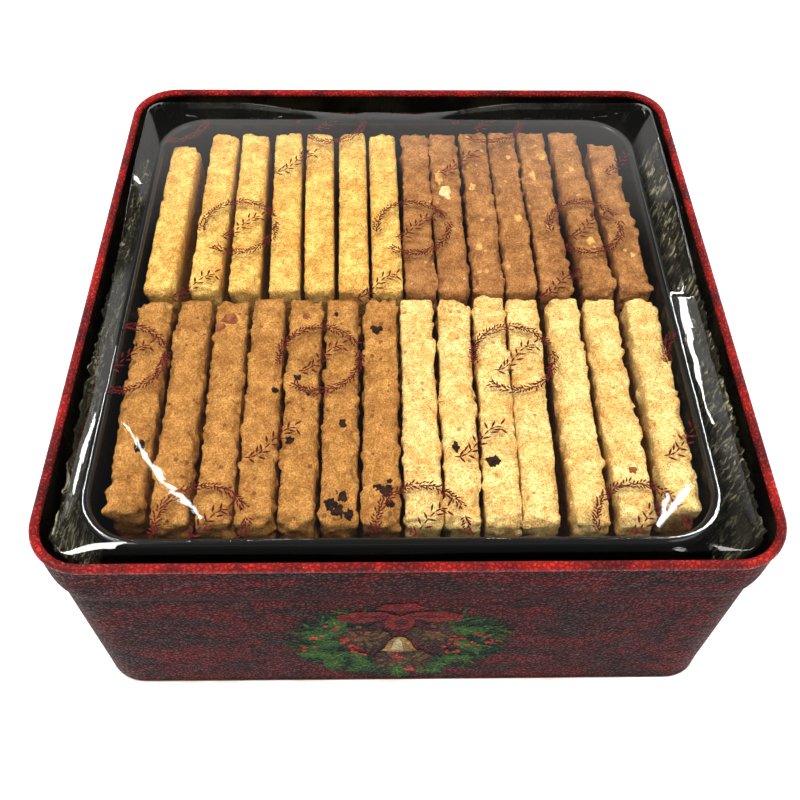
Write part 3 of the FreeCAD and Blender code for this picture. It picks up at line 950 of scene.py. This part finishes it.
# Holly leaves: angle and share of the radius, and how they lean.
HOLLY_LEAVES = (
    (3.75, 0.74, 0.2), (4.05, 0.62, 1.0), (3.55, 0.88, -0.6), (4.25, 0.84, -0.5), (3.95, 0.90, 0.5),
    (2.85, 0.72, 0.9), (0.45, 0.70, -0.9), (5.55, 0.74, 0.8), (4.70, 0.90, 0.1), (3.25, 0.70, 0.4),
    (6.10, 0.66, -0.5), (2.45, 0.74, -0.7), (5.15, 0.86, -0.6),
)
# Clusters of berries: angle and share of the radius.
BERRIES = (
    (2.95, 0.78), (3.35, 0.86), (3.45, 0.46), (3.00, 0.47), (0.10, 0.55), (6.20, 0.70), (0.25, 0.78),
    (5.75, 0.56), (4.60, 0.42), (4.85, 0.86), (6.05, 0.50), (3.85, 0.50), (2.55, 0.76), (0.0, 0.86),
)
BELL = (
    (-5.0, -6.0), (-3.9, -3.8), (-2.9, 0.5), (-1.4, 3.1), (0, 3.7), (1.4, 3.1), (2.9, 0.5), (3.9, -3.8),
    (5.0, -6.0), (0, -6.8),
)
BELL_SHINE = ((-2.2, -5.2), (-1.4, 0.4), (-0.2, 2.4), (0.6, 0.2), (1.2, -5.4))
BOW_TOP = ((-6.0, 20.5), (-4.0, 23.6), (3.5, 24.2), (6.5, 21.2), (1.0, 19.4))
# The right half of the bow, which the left half mirrors.
BOW_HALF = (
    ("bow_dark", ((0.5, 16.5), (3.8, 16.0), (8.5, 9.4), (12.5, 7.5), (7.8, 7.0), (3.5, 11.0))),
    ("bow", ((0, 16.6), (4.0, 19.0), (11.0, 19.4), (16.5, 17.0), (15.5, 13.4), (9.0, 12.6), (3.0, 15.0))),
    ("bow_dark", ((2.0, 16.4), (6.5, 17.2), (12.5, 15.6), (7.0, 15.4))),
)


# Each printed colour varies between two.
PALETTE = {
    "shade": ((0.004, 0.012, 0.010), (0.010, 0.008, 0.008)),
    "fir_dark": ((0.005, 0.018, 0.011), (0.003, 0.009, 0.007)),
    "fir": ((0.010, 0.036, 0.012), (0.005, 0.018, 0.009)),
    "fir_light": ((0.034, 0.080, 0.016), (0.014, 0.040, 0.012)),
    "holly": ((0.026, 0.070, 0.010), (0.012, 0.038, 0.008)),
    "holly_vein": ((0.060, 0.130, 0.030), (0.036, 0.085, 0.020)),
    "cone_dark": ((0.022, 0.011, 0.007), (0.012, 0.007, 0.005)),
    "cone": ((0.045, 0.022, 0.011), (0.024, 0.012, 0.006)),
    "cone_light": ((0.105, 0.052, 0.018), (0.055, 0.027, 0.011)),
    "bell": ((0.230, 0.150, 0.045), (0.120, 0.068, 0.020)),
    "bell_shine": ((0.420, 0.390, 0.260), (0.270, 0.220, 0.110)),
    "bow": ((0.125, 0.010, 0.009), (0.070, 0.006, 0.006)),
    "bow_dark": ((0.040, 0.004, 0.006), (0.022, 0.003, 0.005)),
    "berry": ((0.400, 0.030, 0.026), (0.240, 0.014, 0.014)),
}


def on_oval(angle, share, width, height):
    return (width * share * math.cos(angle), height * share * math.sin(angle))


def wreath_shapes(rng):
    """(material, outline) pairs of the wreath, in millimetres about its middle, from back to front."""
    shapes = []
    for _ in range(46):
        turn = rng.uniform(0, 2 * math.pi)
        if abs(turn - math.pi / 2) < 0.3:
            continue
        shapes.append(("shade", disc(on_oval(turn, 1, 22, 16.5), rng.uniform(3.5, 5.5), 11)))
    for colour, count, needle, near, far in SPRAYS:
        for _ in range(count):
            turn = rng.uniform(0, 2 * math.pi)
            if abs(turn - math.pi / 2) < 0.35:
                continue
            at = on_oval(turn, rng.uniform(near, far), 30, 23.8)
            angle = turn + rng.choice((-1, 1)) * rng.uniform(0.1, 1.0)
            shapes.append((colour, leaf(at, angle, needle * rng.uniform(0.5, 1.1), rng.uniform(0.6, 1.0))))
    for cx, cy, size in CONES:
        shapes.append(("cone_dark", disc((cx, cy), size, 20)))
        for ring in range(5):
            reach = size * (0.90 - 0.19 * ring)
            scales = 15 - 2 * ring
            for k in range(scales):
                turn = 2 * math.pi * (k + ring / 2) / scales
                at = polar_point(reach, turn, (cx, cy))
                tone = "cone_light" if rng.random() < 0.25 + 0.12 * ring else "cone"
                shapes.append((tone, leaf(at, turn, size * 0.34, size * 0.22)))
    for turn, share, lean in HOLLY_LEAVES:
        at = on_oval(turn, share, 29, 23.5)
        shapes.append(("holly", leaf(at, turn + lean, 11.0, 6.2, HOLLY)))
        shapes.append(("holly_vein", leaf(at, turn + lean, 9.0, 0.5)))
    shapes.append(("bell", BELL))
    shapes.append(("bell_shine", BELL_SHINE))
    for side in (-1, 1):
        for tone, outline in BOW_HALF:
            shapes.append((tone, [(side * x, y) for x, y in outline]))
    shapes.append(("bow", BOW_TOP))
    shapes.append(("bow", disc((0, 12.4), 4.0, 16)))
    shapes.append(("bow_dark", disc((0.3, 12.9), 1.9, 12)))
    for turn, share in BERRIES:
        x, y = on_oval(turn, share, 29, 23)
        for _ in range(5):
            at = (x + rng.uniform(-2.2, 2.2), y + rng.uniform(-1.4, 1.4))
            shapes.append(("berry", disc(at, rng.uniform(0.45, 0.75), 9)))
    return shapes


def build_wreath(name, turn, materials):
    """The picture on one side of the tin, printed in thin layers on the wall."""
    names = list(PALETTE)
    wall = tin_high.y - BODY_INSET
    middle_z = (crease_z + base_high.z) / 2
    rotate = Matrix.Rotation(turn, 3, "Z")
    points = []
    faces = []
    indices = []
    shapes = wreath_shapes(random.Random(23))
    for order, (key, outline) in enumerate(shapes):
        lift = (INK_LIFT + INK_LAYERS * order / len(shapes)) * MM
        faces.append(tuple(range(len(points), len(points) + len(outline))))
        indices.append(names.index(key))
        for x, z in outline:
            z = min(max(middle_z + z * MM * WREATH_RISE, base_high.z + 0.5 * MM), crease_z - 0.6 * MM)
            points.append(rotate @ Vector((x * MM * WREATH_STRETCH - WREATH_OFFSET, -wall - lift, z)))
    made = mesh_object(name, points, faces, materials, indices, smooth=False)
    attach(made, "tin")


# -------- stage, lights and camera


def build_stage():
    """Plain pale floor."""
    material, tree, shader = new_material("floor")
    tint = noise_value(tree, 8.0, 2.0)
    feed(tree, shader, {
        "Base Color": mix_colour(tree, tint, (0.93, 0.93, 0.93), (0.96, 0.96, 0.96)),
        "Roughness": 0.9,
        "Specular IOR Level": 0.1,
    })
    reach = 6.0
    corners = [(-reach, -reach, 0), (reach, -reach, 0), (reach, reach, 0), (-reach, reach, 0)]
    mesh_object("floor", corners, [(0, 1, 2, 3)], [material], smooth=False)


EYE = Vector((-0.00671, -0.19301, 0.29077))
PITCH = math.radians(52.58)  # down
YAW = math.radians(1.715)
ROLL = math.radians(1.19)
LENS = 41.885
SENSOR_WIDTH = 36.0
SHIFT_Y = -0.0375
GLINT_REACH = 0.8  # from the film to the lights that it mirrors
GLINT_RADIANCE = 15.0
OVERLAP = 1.04  # of neighbouring lights in a path


def hold(name, data, rotation):
    """Object for a light or camera."""
    holder = bpy.data.objects.new(name, data)
    holder.rotation_mode = "QUATERNION"
    holder.rotation_quaternion = rotation
    bpy.context.scene.collection.objects.link(holder)
    return holder


def area_light(name, place_at, aim, size, power, colour=(1, 1, 1), along=(1, 0, 0)):
    """Rectangular light at place_at that faces aim. along is the direction of its first side."""
    light = bpy.data.lights.new(name, "AREA")
    light.shape = "RECTANGLE"
    light.size, light.size_y = size
    light.energy = power
    light.color = colour
    behind = (Vector(place_at) - Vector(aim)).normalized()
    side = Vector(along)
    side = (side - behind * side.dot(behind)).normalized()
    holder = hold(name, light, Matrix((side, behind.cross(side), behind)).transposed().to_quaternion())
    holder.location = place_at
    holder.visible_camera = False


def mirrored(x, y, tilt):
    """Point that someone at the camera sees mirrored in the film at x, y, where it leans by tilt."""
    spot = Vector((x * MM, y * MM, film_z))
    ahead = (spot - EYE).normalized()
    normal = Vector((*tilt, 1.0)).normalized()
    return spot + GLINT_REACH * (ahead - 2 * ahead.dot(normal) * normal)


def light_path(name, stations, widths):
    """Narrow lights, like the edges of windows, from station to station."""
    for k, (start, end) in enumerate(zip(stations, stations[1:])):
        middle = (start + end) / 2
        width = widths[k] * MM
        length = (end - start).length * OVERLAP
        power = math.pi * GLINT_RADIANCE * width * length
        area_light(f"{name}_{k}", middle, (0, -0.04, rim_z), (length, width), power, along=end - start)


def glint(name, path, widths, tilt=(0.0, 0.0)):
    """Lights that the film mirrors along a path on it."""
    light_path(name, [mirrored(x, y, tilt) for x, y in path], widths)


def rim_glint(name, first, last, width, lean):
    """Lights that show as a thin line where the film bends over the tray's rim, leaning outward by lean."""
    rim = tray_contour(ROLL_CREST, per_side=3, per_corner=3)
    stations = []
    for k in range(first, last + 1):
        here = rim[k % len(rim)]
        run = rim[(k + 1) % len(rim)] - rim[(k - 1) % len(rim)]
        outward = Vector((run[1], -run[0])).normalized()
        stations.append(mirrored(here[0] / MM, here[1] / MM, outward * lean))
    light_path(name, stations, [width] * (len(stations) - 1))


def build_lights():
    """Pale surroundings, bright low down and dim overhead, and soft boxes high at the sides."""
    world = bpy.data.worlds.new("studio")
    bpy.context.scene.world = world
    world.use_nodes = True
    tree = world.node_tree
    direction = add(tree, "ShaderNodeTexCoord").outputs["Generated"]
    up = add(tree, "ShaderNodeSeparateXYZ", {0: direction}).outputs[2]
    overhead = ramp(tree, up, 0.60, 0.70)
    around = mix_colour(tree, ramp(tree, up, 0.08, 0.16), (1.05, 1.05, 1.05), (0.80, 0.79, 0.77))
    colour = mix_colour(tree, overhead, around, (0.07, 0.07, 0.07))
    tree.links.new(colour, tree.nodes["Background"].inputs["Color"])
    tree.nodes["Background"].inputs["Strength"].default_value = 1.0
    centre = (0, 0, rim_z)
    sun = bpy.data.lights.new("top", "SUN")
    sun.energy = 2.5
    sun.angle = math.radians(14)
    hold("top", sun, Vector((0.10, -0.16, 0.98)).to_track_quat("Z", "Y")).visible_glossy = False
    area_light("key", (-0.55, -0.10, 0.95), centre, (0.45, 0.45), 9.5, (1.0, 0.99, 0.98))
    glint("streak", ((-75.6, -49.7), (-68.6, -60.0), (-61.6, -69.2), (-52.8, -75.7)), (2.5, 5, 4))
    glint("tick", ((65.8, -73.0), (62.8, -80.8), (68.0, -75.4), (73.3, -69.4)), (4, 6, 8))
    glint("left_wedge", ((-84.5, -46.0), (-86.8, -60.0), (-88.4, -71.0)), (60, 30), (-0.21, 0.0))
    right_path = ((80.0, 8.0), (81.5, 1.0), (83.0, -7.0), (85.0, -19.0), (84.0, -34.0), (83.0, -52.0))
    glint("right_wedge", right_path, (12, 30, 55, 30, 14), (0.12, 0.0))
    glint("right_rim", ((81.0, 66.0), (81.0, 8.0)), (55,), (0.05, 0.0))
    rim_glint("line_right", 0, 5, 34, 0.040)
    rim_glint("line_front_right", -1, 0, 10, 0.060)
    rim_glint("line_front_left", 20, 22, 10, 0.060)
    rim_glint("line_left", 17, 20, 30, 0.045)
    area_light("fill", (0.60, -0.35, 0.80), centre, (0.5, 0.5), 4.5, (1.0, 0.99, 0.97))


def build_camera():
    """Camera above the printed front, looking down into the tin."""
    ahead = Vector((math.sin(YAW) * math.cos(PITCH), math.cos(YAW) * math.cos(PITCH), -math.sin(PITCH)))
    level = Vector((math.cos(YAW), -math.sin(YAW), 0))
    upright = level.cross(ahead)
    right = level * math.cos(ROLL) + upright * math.sin(ROLL)
    top = upright * math.cos(ROLL) - level * math.sin(ROLL)
    camera = bpy.data.cameras.new("camera")
    camera.lens = LENS
    camera.sensor_width = SENSOR_WIDTH
    camera.shift_y = SHIFT_Y
    holder = hold("camera", camera, Matrix((right, top, -ahead)).transposed().to_quaternion())
    holder.location = EYE
    bpy.context.scene.camera = holder


build_camera()
build_stage()
build_lights()
dress_tin()
dress("tray", tray_plastic())
build_cookies()
film_shell(film_material())
film_fin("right", seal_material("right", (1.0, 1.0, 0.18)))
film_fin("left", seal_material("left", (1.0, 0.06, 1.0)))
film_print()
inks = [picture_material(f"picture_{key}", *tones) for key, tones in PALETTE.items()]
build_wreath("picture_front", 0.0, inks)
build_wreath("picture_back", math.pi, inks)

bpy.context.scene.view_settings.view_transform = "Standard"
